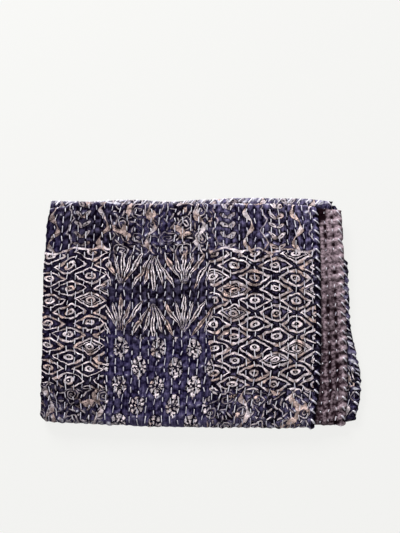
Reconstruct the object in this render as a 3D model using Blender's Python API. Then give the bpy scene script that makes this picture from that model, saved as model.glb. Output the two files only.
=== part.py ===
"""A kantha quilt, folded into a flat packet and lying on a surface.

Two thin cotton cloths, a printed face and a plain back, are quilted together by long rows of
running stitch. The quilt is folded in half along its length, and then in four across it.
Each cloth is modelled flat as one closed slab and then folded by bend_point().

Flat coordinates: across runs over the side fold, below zero on the half that ends on top and
above zero on the half under it. The stations follow each other from one end hem to the other.
out is the distance from the middle of the quilt's thickness, above zero on the printed side.
"""
import math

import bmesh
import bpy

# Cloth
SHEET = 0.0010
SHEET_GAP = 0.0003
UPPER_WIDTH = 0.4155
LOWER_WIDTH = 0.4545
HALF_THICKNESS = SHEET_GAP / 2 + SHEET

# Quilting: rows of stitches run along the quilt, and the cloth swells between them
UPPER_CHANNELS = 34
CHANNELS_PER_PANEL = 2
HEM_CHANNEL = 0.0188
SWELL = 0.0008
LOWER_STRIP = (LOWER_WIDTH - 2 * HEM_CHANNEL, LOWER_WIDTH)

# Panels across the quilt, besides those of the upper half
SIDE_FOLD_PANELS = 6
HIDDEN_PANELS = 6
HEM_PANELS = 8
HEM_PART = LOWER_WIDTH - HEM_PANELS * HEM_CHANNEL / 2

# Stack
LAYER_PITCH = 0.0032
SIDE_FOLD_RADIUS = LAYER_PITCH / 2
QUARTER_TURN = math.pi * SIDE_FOLD_RADIUS / 2
BAND_PITCH = 2 * LAYER_PITCH
BAND_HALF = SIDE_FOLD_RADIUS + HALF_THICKNESS

# Where the folds across the quilt and its two end hems lie, from the middle of the packet.
# A section's y that lies past the end of its run is taken back to that end.
NEAR_EDGE = -0.1726
FAR_FOLD_EDGE = 0.1613
BOTTOM_END_HEM = 0.1650
THIRD_END_HEM = 0.1703
NEAR_CENTRE = NEAR_EDGE + 1.5 * BAND_PITCH + BAND_HALF
FAR_CENTRE = FAR_FOLD_EDGE - BAND_PITCH / 2 - BAND_HALF

# The four runs of the doubled quilt, in the order in which the cloth passes through them.
# Columns: name, height in the stack (0 is the lowest), y where it starts, y where it ends,
# facets in the fold that leads to the next run.
RUNS = (
    ("bottom", 0, BOTTOM_END_HEM, NEAR_CENTRE, 6),
    ("top", 3, NEAR_CENTRE, FAR_CENTRE, 5),
    ("second", 2, FAR_CENTRE, NEAR_CENTRE, 4),
    ("third", 1, NEAR_CENTRE, THIRD_END_HEM, 0),
)

# Outline of each run in millimetres from the middle of the packet, one row a section.
# Columns: run, y, side fold, hem of the upper half, hem of the lower half.
SECTIONS = (
    ("bottom", 165.0, -232.0, 195.0, 208.0),
    ("bottom", 60.0, -236.0, 188.0, 212.0),
    ("bottom", -60.0, -237.0, 181.0, 215.0),
    ("bottom", -140.0, -239.4, 174.0, 217.0),
    ("bottom", -161.0, -238.0, 170.0, 215.5),
    ("top", -161.0, -237.0, 167.5, 214.5),
    ("top", -114.0, -237.0, 174.0, 218.0),
    ("top", -60.0, -236.2, 177.5, 218.3),
    ("top", -5.0, -236.0, 178.5, 217.5),
    ("top", 55.0, -236.5, 178.5, 215.5),
    ("top", 105.0, -233.5, 178.0, 214.0),
    ("top", 138.0, -232.0, 177.0, 212.5),
    ("top", 155.5, -228.5, 175.5, 211.5),
    ("second", 155.5, -228.5, 176.0, 211.5),
    ("second", 128.0, -231.0, 180.0, 212.0),
    ("second", 92.0, -232.5, 184.0, 213.5),
    ("second", 74.0, -233.0, 184.0, 222.0),
    ("second", 20.0, -233.5, 183.0, 223.5),
    ("second", -30.0, -234.0, 180.0, 225.5),
    ("second", -52.0, -234.5, 176.0, 230.0),
    ("second", -111.0, -234.5, 164.0, 239.4),
    ("second", -135.0, -234.5, 165.0, 237.0),
    ("second", -161.0, -234.5, 166.0, 231.5),
    ("third", -161.0, -234.5, 166.0, 230.0),
    ("third", -60.0, -235.0, 174.0, 224.0),
    ("third", 60.0, -234.0, 184.0, 214.0),
    ("third", 170.5, -229.5, 201.0, 198.0),
)

# How far the folds and the end hems bow from a straight line, in millimetres.
# Columns: x, inward bow.
NEAR_BOW = (
    (-240, 13.0), (-228, 9.5), (-201, 6.7), (-130, 3.7), (-60, 0.8), (0, 0.0), (215, 0.0), (235, 3.0),
)
FAR_FOLD_BOW = (
    (-230, 6.8), (-208, 4.5), (-188, -3.0), (-155, -3.0), (-120, 0.0), (120, 0.0), (177, 3.5), (212, 6.0),
)
END_HEM_BOW = (
    (-230, 2.0), (-178, 3.5), (-110, 0.7), (-45, 3.5), (0, 0.7), (60, -2.3), (150, -1.5), (201, 3.0),
)
BOW_REACH = 0.150

# The hems of the lower half reach past those of the upper half and sag between them
SAG_START = 0.181
SAG_WIDTH = 0.045
SAG_SHARE = 0.72
SAG_FAR_SHARE = 0.2
SAG_FADE = (0.020, 0.150)
HIDDEN_HEMS = (2.7 * LAYER_PITCH, 5.0 * LAYER_PITCH)

# The packet is a little thicker at its middle than at its edges
CROWN = 0.07
RIPPLE = 0.022
RIPPLES_A_METRE = ((19, 11), (-9, 31))
PACKET_HALF_X = 0.240
PACKET_HALF_Y = 0.172

NAVY = (0.042, 0.036, 0.078, 1.0)
MAUVE = (0.235, 0.165, 0.185, 1.0)
COTTON_ROUGHNESS = 0.92


def ease(value):
    """0 below 0, 1 above 1, and a smooth step between."""
    value = min(max(value, 0.0), 1.0)
    return value * value * (3 - 2 * value)


def read_bow(table, x):
    """The bow at x, in metres, with an eased step from each row of a table to the next."""
    x_mm = x * 1000
    if x_mm <= table[0][0]:
        return table[0][1] / 1000
    for (x_a, bow_a), (x_b, bow_b) in zip(table, table[1:]):
        if x_mm <= x_b:
            return (bow_a + (bow_b - bow_a) * ease((x_mm - x_a) / (x_b - x_a))) / 1000
    return table[-1][1] / 1000


def run_height(level):
    return BAND_HALF + level * BAND_PITCH


def trace_path():
    """The stations along the quilt: for each, its place on the folded band's middle line, the
    band's outward normal, and its side fold and hems."""
    stations = []
    for index, (run, level, start, end, facets) in enumerate(RUNS):
        heading = 1 if end > start else -1
        z = run_height(level)
        rows = [row[1:] for row in SECTIONS if row[0] == run]
        for y_mm, fold, upper, lower in rows:
            y = min(max(y_mm / 1000, min(start, end)), max(start, end))
            stations.append({
                "run": run, "y": y, "z": z, "normal": (0.0, heading),
                "fold": fold / 1000, "upper": upper / 1000, "lower": lower / 1000,
            })
        if not facets:
            continue
        next_run, next_level = RUNS[index + 1][:2]
        next_row = [row[2:] for row in SECTIONS if row[0] == next_run][0]
        rise = run_height(next_level) - z
        way = math.copysign(1.0, rise)
        for facet in range(1, facets):
            share = facet / facets
            turn = math.pi * share
            edges = [(a + (b - a) * share) / 1000 for a, b in zip(rows[-1][1:], next_row)]
            stations.append({
                "run": run + " fold",
                "y": end + heading * abs(rise) / 2 * math.sin(turn),
                "z": z + rise / 2 * (1 - math.cos(turn)),
                "normal": (-way * math.sin(turn), heading * math.cos(turn)),
                "fold": edges[0], "upper": edges[1], "lower": edges[2],
            })
    return stations


def bow_shift(station, x, y):
    """How far y moves so that folds and end hems bow as they do in the packet."""
    near = ease(0.5 - y / (2 * BOW_REACH))
    far = ease(0.5 + y / (2 * BOW_REACH))
    table = FAR_FOLD_BOW if station["run"] in ("top", "top fold", "second") else END_HEM_BOW
    near_share = near * near
    far_share = far * far
    return near_share * read_bow(NEAR_BOW, x) - far_share * read_bow(table, x)


def sag_depth(z):
    """How far a layer at this height can sink where the upper halves' layers are missing."""
    lowest_hem = min(z / LAYER_PITCH, 1.0)
    low, high = HIDDEN_HEMS
    two_hems = 2 * min(max((z - low) / (high - low), 0.0), 1.0)
    return LAYER_PITCH * (lowest_hem + two_hems) * SAG_SHARE


def settle(x, y, z):
    """Lower the overhanging hems and vary the packet's thickness. The lowest face stays flat."""
    fade = (y - SAG_FADE[0]) / (SAG_FADE[1] - SAG_FADE[0])
    share = 1 - (1 - SAG_FAR_SHARE) * ease(fade)
    z -= share * ease((x - SAG_START) / SAG_WIDTH) * sag_depth(z)
    crown = math.cos(0.5 * math.pi * x / PACKET_HALF_X) * math.cos(0.5 * math.pi * y / PACKET_HALF_Y)
    ripple = sum(math.sin(wave_x * x + wave_y * y) for wave_x, wave_y in RIPPLES_A_METRE)
    return z * (1 + CROWN * crown + RIPPLE * ripple)


def bend_point(station, across, out):
    """Fold one point of the flat quilt round the side fold and along the band's path."""
    reach = SIDE_FOLD_RADIUS + out
    centre = station["fold"] + BAND_HALF
    if across < -QUARTER_TURN:
        stretch = (station["upper"] - centre) / (UPPER_WIDTH - QUARTER_TURN)
        x = centre + (-across - QUARTER_TURN) * stretch
        offset = reach
    elif across > QUARTER_TURN:
        stretch = (station["lower"] - centre) / (LOWER_WIDTH - QUARTER_TURN)
        x = centre + (across - QUARTER_TURN) * stretch
        offset = -reach
    else:
        turn = across / SIDE_FOLD_RADIUS
        x = centre - reach * math.cos(turn)
        offset = -reach * math.sin(turn)
    y = station["y"] + offset * station["normal"][0]
    z = station["z"] + offset * station["normal"][1]
    z = settle(x, y, z)
    return x, y + bow_shift(station, x, y), z


def steps(start, end, count):
    return [start + (end - start) * i / count for i in range(count)]


def across_columns():
    """The panels across the quilt: even on the upper half, fine round the side fold, wide under
    the packet and narrow in the part of the lower half that shows past the upper hem."""
    panels = UPPER_CHANNELS // CHANNELS_PER_PANEL
    columns = steps(-UPPER_WIDTH, 0.0, panels)
    columns += steps(-QUARTER_TURN, QUARTER_TURN, SIDE_FOLD_PANELS)
    columns += steps(QUARTER_TURN, HEM_PART, HIDDEN_PANELS)
    columns += steps(HEM_PART, LOWER_WIDTH, HEM_PANELS)
    return columns + [LOWER_WIDTH]


def flat_slab(columns, rows):
    """A flat closed slab of panels. Its corners hold (column, row, side) until it is folded."""
    slab = bmesh.new()
    bmesh.ops.create_grid(slab, x_segments=len(columns) - 1, y_segments=len(rows) - 1, size=1)
    for vert in slab.verts:
        column = round((vert.co.x + 1) / 2 * (len(columns) - 1))
        row = round((vert.co.y + 1) / 2 * (len(rows) - 1))
        vert.co = (columns[column], row, 0.0)
    bmesh.ops.solidify(slab, geom=slab.faces[:], thickness=1.0)
    for vert in slab.verts:
        vert.co.z = 1.0 if abs(vert.co.z) > 0.5 else 0.0
    return slab


def divide_panels(slab, rows_shown, span, cuts):
    """Divide the outer panels across the quilt, in the rows and the span that show."""
    def shown(edge):
        a, b = (vert.co for vert in edge.verts)
        outer_row = a.z > 0.5 and b.z > 0.5 and round(a.y) == round(b.y)
        middle = (a.x + b.x) / 2
        return outer_row and rows_shown[0] <= round(a.y) <= rows_shown[1] and span[0] < middle < span[1]
    chosen = [edge for edge in slab.edges if shown(edge)]
    bmesh.ops.subdivide_edges(slab, edges=chosen, cuts=cuts, use_grid_fill=True)


def row_range(stations, first, last, more_first=0, more_last=0):
    """The rows from the first station of one run to the last of another, and a few more."""
    names = [station["run"] for station in stations]
    return names.index(first) - more_first, len(names) - 1 - names[::-1].index(last) + more_last


def fold_cloth(name, slab, stations, facing, swells, colour):
    """Fold a flat slab and make it an object. facing is 1 for the printed side of the quilt
    and -1 for the other, and swells lists the rows and spans whose channels stand up."""
    for vert in slab.verts:
        across, row, side = vert.co
        out = SHEET_GAP / 2 + SHEET * side
        for rows_shown, span, channel in swells:
            inside = span[0] < across < span[1] and rows_shown[0] < round(row) < rows_shown[1]
            if inside and side > 0.5:
                out += SWELL * math.sin(math.pi * (across - span[0]) / channel) ** 2
        vert.co = bend_point(stations[round(row)], across, facing * out)
    bmesh.ops.triangulate(slab, faces=slab.faces[:])
    bmesh.ops.recalc_face_normals(slab, faces=slab.faces[:])
    mesh = bpy.data.meshes.new(name)
    slab.to_mesh(mesh)
    slab.free()
    cloth = bpy.data.objects.new(name, mesh)
    cloth.data.materials.append(cotton(name, colour))
    return cloth


def cotton(name, colour):
    material = bpy.data.materials.new(name + " cotton")
    material.use_nodes = True
    shader = material.node_tree.nodes["Principled BSDF"]
    shader.inputs["Base Color"].default_value = colour
    shader.inputs["Roughness"].default_value = COTTON_ROUGHNESS
    shader.inputs["Metallic"].default_value = 0.0
    return material


def printed_face(stations, columns):
    """The printed cloth. Its channels stand up on the top run and the two folds beside it, and
    on the strip of the second run that shows past the hems above it."""
    slab = flat_slab(columns, stations)
    top_rows = row_range(stations, "top", "top", 3, 2)
    strip_rows = row_range(stations, "second", "second", 0, 1)
    top_span = (-UPPER_WIDTH, -QUARTER_TURN)
    divide_panels(slab, top_rows, top_span, 2 * CHANNELS_PER_PANEL - 1)
    swells = (
        (top_rows, top_span, UPPER_WIDTH / UPPER_CHANNELS),
        (strip_rows, LOWER_STRIP, HEM_CHANNEL),
    )
    return fold_cloth("printed_face", slab, stations, 1, swells, NAVY)


def plain_back(stations, columns):
    """The plain cloth. Its channels stand up on the strip of the top run past the upper hem."""
    slab = flat_slab(columns, stations)
    strip_rows = row_range(stations, "top", "top", 3, 2)
    swells = ((strip_rows, LOWER_STRIP, HEM_CHANNEL),)
    return fold_cloth("plain_back", slab, stations, -1, swells, MAUVE)


def main():
    for old in list(bpy.data.objects):
        bpy.data.objects.remove(old, do_unlink=True)
    quilt = bpy.data.collections.new("kantha_quilt")
    bpy.context.scene.collection.children.link(quilt)
    stations = trace_path()
    columns = across_columns()
    for make in (printed_face, plain_back):
        quilt.objects.link(make(stations, columns))


main()
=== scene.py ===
import bisect
import math
import random

import bmesh
import bpy
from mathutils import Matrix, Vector, noise


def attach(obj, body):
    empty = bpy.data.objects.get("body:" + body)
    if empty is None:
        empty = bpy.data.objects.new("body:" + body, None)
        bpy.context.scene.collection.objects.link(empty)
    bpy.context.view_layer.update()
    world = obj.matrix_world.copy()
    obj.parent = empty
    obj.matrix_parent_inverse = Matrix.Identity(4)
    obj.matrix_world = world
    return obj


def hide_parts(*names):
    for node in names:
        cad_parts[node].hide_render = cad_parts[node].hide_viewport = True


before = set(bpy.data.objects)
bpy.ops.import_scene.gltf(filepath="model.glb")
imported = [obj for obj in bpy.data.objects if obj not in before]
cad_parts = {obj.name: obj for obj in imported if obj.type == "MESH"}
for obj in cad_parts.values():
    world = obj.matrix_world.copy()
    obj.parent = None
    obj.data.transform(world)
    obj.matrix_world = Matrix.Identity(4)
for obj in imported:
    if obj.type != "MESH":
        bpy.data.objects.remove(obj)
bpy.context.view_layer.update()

# The fold of the packet, in metres unless a note says otherwise
quilt = {
    "sheet": 0.0010,         # one cotton with its share of the thread
    "gap": 0.0003,           # between the two cottons
    "upperWidth": 0.4155,    # from the side fold to the hem of the half that lies on top
    "lowerWidth": 0.4545,    # from the side fold to the hem of the half under it
    "layerPitch": 0.0032,
    "nearEdge": -0.1726,
    "farFoldEdge": 0.1613,
    "bottomEndHem": 0.1650,
    "thirdEndHem": 0.1703,
    "bowReach": 0.150,
    "sagStart": 0.181,
    "sagWidth": 0.045,
    "sagShare": 0.72,
    "sagFarShare": 0.2,
    "sagFade": (0.020, 0.150),
    "crown": 0.07,
    "ripple": 0.022,
    "ripplesAMetre": ((19, 11), (-9, 31)),
    "halfSize": (0.240, 0.172),
}
foldRadius = quilt["layerPitch"] / 2
quarterTurn = math.pi * foldRadius / 2
bandPitch = 2 * quilt["layerPitch"]
bandHalf = foldRadius + quilt["gap"] / 2 + quilt["sheet"]
nearCentre = quilt["nearEdge"] + 1.5 * bandPitch + bandHalf
farCentre = quilt["farFoldEdge"] - bandPitch / 2 - bandHalf
hiddenHems = (2.7 * quilt["layerPitch"], 5.0 * quilt["layerPitch"])

# run of the doubled quilt, height in the stack, y where it starts, y where it ends
runs = (
    ("bottom", 0, quilt["bottomEndHem"], nearCentre),
    ("top", 3, nearCentre, farCentre),
    ("second", 2, farCentre, nearCentre),
    ("third", 1, nearCentre, quilt["thirdEndHem"]),
)

# for each run, in millimetres: y, side fold, hem of the upper half, hem of the lower half
sections = {
    "bottom": (
        (165.0, -232.0, 195.0, 208.0),
        (60.0, -236.0, 188.0, 212.0),
        (-60.0, -237.0, 181.0, 215.0),
        (-140.0, -239.4, 174.0, 217.0),
        (-161.0, -238.0, 170.0, 215.5),
    ),
    "top": (
        (-161.0, -237.0, 167.5, 214.5),
        (-114.0, -237.0, 174.0, 218.0),
        (-60.0, -236.2, 177.5, 218.3),
        (-5.0, -236.0, 178.5, 217.5),
        (55.0, -236.5, 178.5, 215.5),
        (105.0, -233.5, 178.0, 214.0),
        (138.0, -232.0, 177.0, 212.5),
        (155.5, -228.5, 175.5, 211.5),
    ),
    "second": (
        (155.5, -228.5, 176.0, 211.5),
        (128.0, -231.0, 180.0, 212.0),
        (92.0, -232.5, 184.0, 213.5),
        (74.0, -233.0, 184.0, 222.0),
        (20.0, -233.5, 183.0, 223.5),
        (-30.0, -234.0, 180.0, 225.5),
        (-52.0, -234.5, 176.0, 230.0),
        (-111.0, -234.5, 164.0, 239.4),
        (-135.0, -234.5, 165.0, 237.0),
        (-161.0, -234.5, 166.0, 231.5),
    ),
    "third": (
        (-161.0, -234.5, 166.0, 230.0),
        (-60.0, -235.0, 174.0, 224.0),
        (60.0, -234.0, 184.0, 214.0),
        (170.5, -229.5, 201.0, 198.0),
    ),
}

# x and inward bow of a fold or an end hem, in millimetres
nearBow = ((-240, 13.0), (-228, 9.5), (-201, 6.7), (-130, 3.7), (-60, 0.8), (0, 0.0), (215, 0.0), (235, 3.0))
farFoldBow = (
    (-230, 6.8), (-208, 4.5), (-188, -3.0), (-155, -3.0), (-120, 0.0), (120, 0.0), (177, 3.5), (212, 6.0),
)
endHemBow = ((-230, 2.0), (-178, 3.5), (-110, 0.7), (-45, 3.5), (0, 0.7), (60, -2.3), (150, -1.5), (201, 3.0))


def ease(value):
    value = min(max(value, 0.0), 1.0)
    return value * value * (3 - 2 * value)


def blend(a, b, share):
    return a + (b - a) * share


def readBow(table, x):
    xMm = x * 1000
    if xMm <= table[0][0]:
        return table[0][1] / 1000
    for (xA, bowA), (xB, bowB) in zip(table, table[1:]):
        if xMm <= xB:
            return blend(bowA, bowB, ease((xMm - xA) / (xB - xA))) / 1000
    return table[-1][1] / 1000


def makeLegs():
    # the flat runs and the turns between them, each with its place along the cloth
    legs, along = [], 0.0
    for index, (name, level, start, end) in enumerate(runs):
        heading = math.copysign(1.0, end - start)
        z = bandHalf + level * bandPitch
        legs.append({"name": name, "from": along, "length": abs(end - start), "y": start,
                     "heading": heading, "z": z, "rise": 0.0})
        along += abs(end - start)
        if index + 1 < len(runs):
            rise = (runs[index + 1][1] - level) * bandPitch
            length = math.pi * abs(rise) / 2
            legs.append({"name": name + " fold", "from": along, "length": length, "y": end,
                         "heading": heading, "z": z, "rise": rise})
            along += length
    shift = nearCentre - legs[2]["from"]     # so that along is y on the top run
    for leg in legs:
        leg["from"] += shift
    return legs


legs = makeLegs()
legStarts = [leg["from"] for leg in legs]
legNamed = {leg["name"]: leg for leg in legs}
firstAlong = legStarts[0]
lastAlong = legStarts[-1] + legs[-1]["length"]


def sectionRows():
    rows = []
    for run, lines in sections.items():
        leg = legNamed[run]
        for y, *edges in lines:
            distance = min(max((y / 1000 - leg["y"]) * leg["heading"], 0.0), leg["length"])
            rows.append((leg["from"] + distance, [edge / 1000 for edge in edges]))
    return rows


def curveSlopes(rows, column):
    # slopes that carry a smooth line through the rows without swinging past them
    steps = [(b[1][column] - a[1][column]) / (b[0] - a[0]) for a, b in zip(rows, rows[1:])]
    inner = [0.0 if a * b <= 0 else 2 * a * b / (a + b) for a, b in zip(steps, steps[1:])]
    return [steps[0]] + inner + [steps[-1]]


edgeRows = sectionRows()
edgeAlongs = [row[0] for row in edgeRows]
edgeSlopes = [curveSlopes(edgeRows, column) for column in range(3)]


def edgesAt(along):
    along = min(max(along, edgeAlongs[0]), edgeAlongs[-1])
    index = min(max(bisect.bisect_right(edgeAlongs, along) - 1, 0), len(edgeRows) - 2)
    (fromAlong, low), (toAlong, high) = edgeRows[index], edgeRows[index + 1]
    span = toAlong - fromAlong
    t = (along - fromAlong) / span
    found = []
    for column in range(3):
        slopes = edgeSlopes[column]
        found.append(
            low[column] * (2 * t**3 - 3 * t**2 + 1) + slopes[index] * span * (t**3 - 2 * t**2 + t)
            + high[column] * (3 * t**2 - 2 * t**3) + slopes[index + 1] * span * (t**3 - t**2)
        )
    return found


stationsKnown = {}


def stationAt(along):
    # middle line of the folded band at a place along the cloth, its outward normal and its edges
    key = round(along, 6)
    if key in stationsKnown:
        return stationsKnown[key]
    leg = legs[min(max(bisect.bisect_right(legStarts, along) - 1, 0), len(legs) - 1)]
    if leg["rise"]:
        turn = math.pi * (along - leg["from"]) / leg["length"]
        way = math.copysign(1.0, leg["rise"])
        y = leg["y"] + leg["heading"] * abs(leg["rise"]) / 2 * math.sin(turn)
        z = leg["z"] + leg["rise"] / 2 * (1 - math.cos(turn))
        normal = (-way * math.sin(turn), leg["heading"] * math.cos(turn))
    else:
        y = leg["y"] + leg["heading"] * (along - leg["from"])
        z = leg["z"]
        normal = (0.0, leg["heading"])
    farTable = farFoldBow if leg["name"] in ("top", "top fold", "second") else endHemBow
    stationsKnown[key] = (y, z, normal, edgesAt(along), farTable)
    return stationsKnown[key]


def sagDepth(z):
    low, high = hiddenHems
    lowestHem = min(z / quilt["layerPitch"], 1.0)
    twoHems = 2 * min(max((z - low) / (high - low), 0.0), 1.0)
    return quilt["layerPitch"] * (lowestHem + twoHems) * quilt["sagShare"]


def bendPoint(across, along, out):
    # flat cloth to packet: round the side fold, then along the band, then settled under its weight
    y, z, normal, (fold, upper, lower), farTable = stationAt(along)
    reach = foldRadius + out
    centre = fold + bandHalf
    if across < -quarterTurn:
        x = centre + (-across - quarterTurn) * (upper - centre) / (quilt["upperWidth"] - quarterTurn)
        offset = reach
    elif across > quarterTurn:
        x = centre + (across - quarterTurn) * (lower - centre) / (quilt["lowerWidth"] - quarterTurn)
        offset = -reach
    else:
        turn = across / foldRadius
        x = centre - reach * math.cos(turn)
        offset = -reach * math.sin(turn)
    y += offset * normal[0]
    z += offset * normal[1]
    fade = ease((y - quilt["sagFade"][0]) / (quilt["sagFade"][1] - quilt["sagFade"][0]))
    sag = 1 - (1 - quilt["sagFarShare"]) * fade
    z -= sag * ease((x - quilt["sagStart"]) / quilt["sagWidth"]) * sagDepth(z)
    halfX, halfY = quilt["halfSize"]
    crown = math.cos(0.5 * math.pi * x / halfX) * math.cos(0.5 * math.pi * y / halfY)
    ripple = sum(math.sin(waveX * x + waveY * y) for waveX, waveY in quilt["ripplesAMetre"])
    z *= 1 + quilt["crown"] * crown + quilt["ripple"] * ripple
    near = ease(0.5 - y / (2 * quilt["bowReach"]))
    far = ease(0.5 + y / (2 * quilt["bowReach"]))
    y += near**2 * readBow(nearBow, x) - far**2 * readBow(farTable, x)
    return x, y, z


# How the stitches draw the cloth in
quilting = {
    "rows": 34,               # on the upper half, from its hem to the side fold
    "pitch": 0.0142,          # from one stitch to the next
    "stitch": 0.0100,         # the part of it that shows on the printed side
    "swell": 0.0008,          # between two rows
    "pucker": 0.0016,         # crest between two stitches
    "hemPucker": 0.7,         # how much higher the crests stand at a hem
    "crumple": 0.0010,        # small folds over both
    "drift": 0.0013,          # how far a row wanders
    "stripWidth": 0.0376,     # the part of the lower half that shows past the upper hem
    "stripRows": (0.0155, 0.0115),  # first row of the strip from its hem, and the next ones
    "pitShade": 0.8,               # painted shade: how dark the cloth is painted where a thread goes in
    "phaseStep": 0.34,        # how far a row's stitches slip from its neighbour's, in pitches
    "scallop": (0.0007, 0.0015),  # how far the overcast thread draws the upper and the lower hem in
    "scallopReach": 0.009,
    "hemRound": 0.0022,
    "seed": 41,
}
rowPitch = quilt["upperWidth"] / quilting["rows"]
pitch = quilting["pitch"]


def rowPhases(seed):
    # where each row's stitches start; a row slips a little from the one beside it
    rng = random.Random(seed)
    phases = [rng.uniform(0, pitch)]
    for _ in range(60):
        phases.append(phases[-1] + rng.uniform(-1, 1) * quilting["phaseStep"] * pitch)
    return phases


upperPhases = rowPhases(quilting["seed"])
lowerPhases = rowPhases(quilting["seed"] + 1)


def rowDrift(across, along):
    return quilting["drift"] * noise.noise(Vector((across * 14, along * 13, 3.1)))


def puckerAt(row, along, phases):
    low = min(max(int(math.floor(row)), 0), len(phases) - 2)
    phase = blend(phases[low], phases[low + 1], ease(row - low))
    crest = 0.5 - 0.5 * math.cos(2 * math.pi * (along - phase) / pitch)
    strength = 0.80 + 1.1 * noise.noise(Vector((row * 0.42, along / pitch * 0.8, 9.3)))
    return crest ** 1.5 * max(strength, 0.15)


def inside(value, low, high, soft):
    return ease((value - low) / soft) * ease((high - value) / soft)


wrapFrom, topFrom = legNamed["bottom fold"]["from"], legNamed["top"]["from"]
farFoldFrom, secondFrom = legNamed["top fold"]["from"], legNamed["second"]["from"]
innerFrom = legNamed["second fold"]["from"]
stripFrom = quilt["lowerWidth"] - quilting["stripWidth"]


# Where the relief fades in and out, in metres, and the shares of each part of it
relief = {
    "start": (0.003, 0.010),      # from the near fold, and the length over which it fades in
    "end": (0.0015, 0.004),       # from the far turn
    "ridge": (0.012, 0.005),      # from the last hem
    "sideFade": 0.004,
    "sideCrest": 0.8,             # crests round the side fold
    "hemRows": 1.6,               # rows over which the crests stand higher towards a hem
    "inChannel": 0.62,            # height of a crest that is left in a row's own channel
    # painted shade at the pits, where a thread goes in
    "pitShade": 0.65,
    "underFade": 0.006,
    "underDepth": 0.00045,        # of the channels on the underside
    "underWearAndLight": 0.4,
    "stripFade": 0.006,
    "stripHemRows": 1.7,
    "stripHemGain": 1.9,
    "awayFromHem": (0.45, 0.8),   # the crests of the plain and the printed strip away from the hem
    "inStripChannel": 0.65,
    "shadedCorner": (0.016, 0.020),
}
# wear of the print, together with a painted highlight on the crests, the folds and the ridge
wearAndPaintedLightBy = {
    "swell": 0.12,
    "pucker": 0.62,
    "crumple": 260,
    "folds": ((0.9, farFoldFrom + 0.004, 0.0020), (0.50, topFrom - 0.012, 0.012)),  # strength, place, width
    "nearHem": 0.35,
    "hemFade": 0.006,
    "strip": 0.25,
    "ridge": (0.88, 0.014),
}


def unevenness(across, along):
    return 1 + 0.55 * noise.noise(Vector((across * 34, along * 34, 7.7)))


def crumpleAt(across, along):
    broad = noise.noise(Vector((across * 95, along * 150, 1.3)))
    return broad + 0.5 * noise.noise(Vector((across * 210, along * 260, 5.9)))


def undersideRelief(row, across, along):
    under = inside(along, firstAlong, wrapFrom + relief["start"][0], relief["underFade"])
    under *= ease((-across - quarterTurn) / relief["sideFade"])
    channel = math.sin(math.pi * row) ** 2
    # painted highlight between the channels of the underside
    return -relief["underDepth"] * (1 - channel) * under, relief["underWearAndLight"] * channel


def upperRelief(row, across, along):
    # swell, crest and the painted shade of the pits on the printed side of the upper half
    channel = math.sin(math.pi * row) ** 2
    crest = puckerAt(row, along, upperPhases)
    (begin, beginFade), (end, endFade), (ridge, ridgeFade) = relief["start"], relief["end"], relief["ridge"]
    shown = ease((along - wrapFrom - begin) / beginFade) * ease((secondFrom - end - along) / endFade)
    shown = max(shown, ease((along - lastAlong + ridge) / ridgeFade))
    shown *= ease((-across - quarterTurn) / relief["sideFade"])
    hemGain = 1 + quilting["hemPucker"] * (1 - ease(row / relief["hemRows"]))
    inChannel = relief["inChannel"]
    pucker = shown * crest * (inChannel + (1 - inChannel) * channel) * hemGain
    return shown * channel, pucker, relief["pitShade"] * shown * (1 - channel) ** 5 * crest


def stripRelief(hemSide, across, along, facing):
    # the same in the strip of the lower half that shows past the upper hem, on either cotton
    firstRow, nextRows = quilting["stripRows"]
    row = 1 + (hemSide - firstRow) / nextRows if hemSide > firstRow else hemSide / firstRow
    channel = math.sin(math.pi * row) ** 2
    crest = puckerAt(row, along, lowerPhases)
    shownFrom, shownTo = (wrapFrom + 0.010, secondFrom) if facing < 0 else (secondFrom + 0.004, innerFrom)
    shown = inside(along, shownFrom, shownTo - 0.002, relief["stripFade"])
    shown *= ease((across - stripFrom) / relief["stripFade"])
    flatter = relief["awayFromHem"][0 if facing < 0 else 1]
    hemGain = flatter + (relief["stripHemGain"] - flatter) * (1 - ease(row / relief["stripHemRows"]))
    inChannel = relief["inStripChannel"]
    pucker = shown * crest * (inChannel + (1 - inChannel) * channel) * hemGain
    holes = 1 - crest if facing < 0 else crest
    uneven = 0.55 + 1.5 * noise.noise(Vector((across * 120, along * 75, 4.7)))
    pitShade = shown * (1 - channel) ** 3 * holes ** 2 * max(uneven, 0.0)
    if facing < 0:      # painted shade on the strip where it goes in under the top edge
        width, length = relief["shadedCorner"]
        corner = math.hypot((across - stripFrom) / width, (along - farFoldFrom + 0.004) / length)
        pitShade = max(pitShade, ease(1.3 - corner))
    return shown * channel, pucker, pitShade


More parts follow.
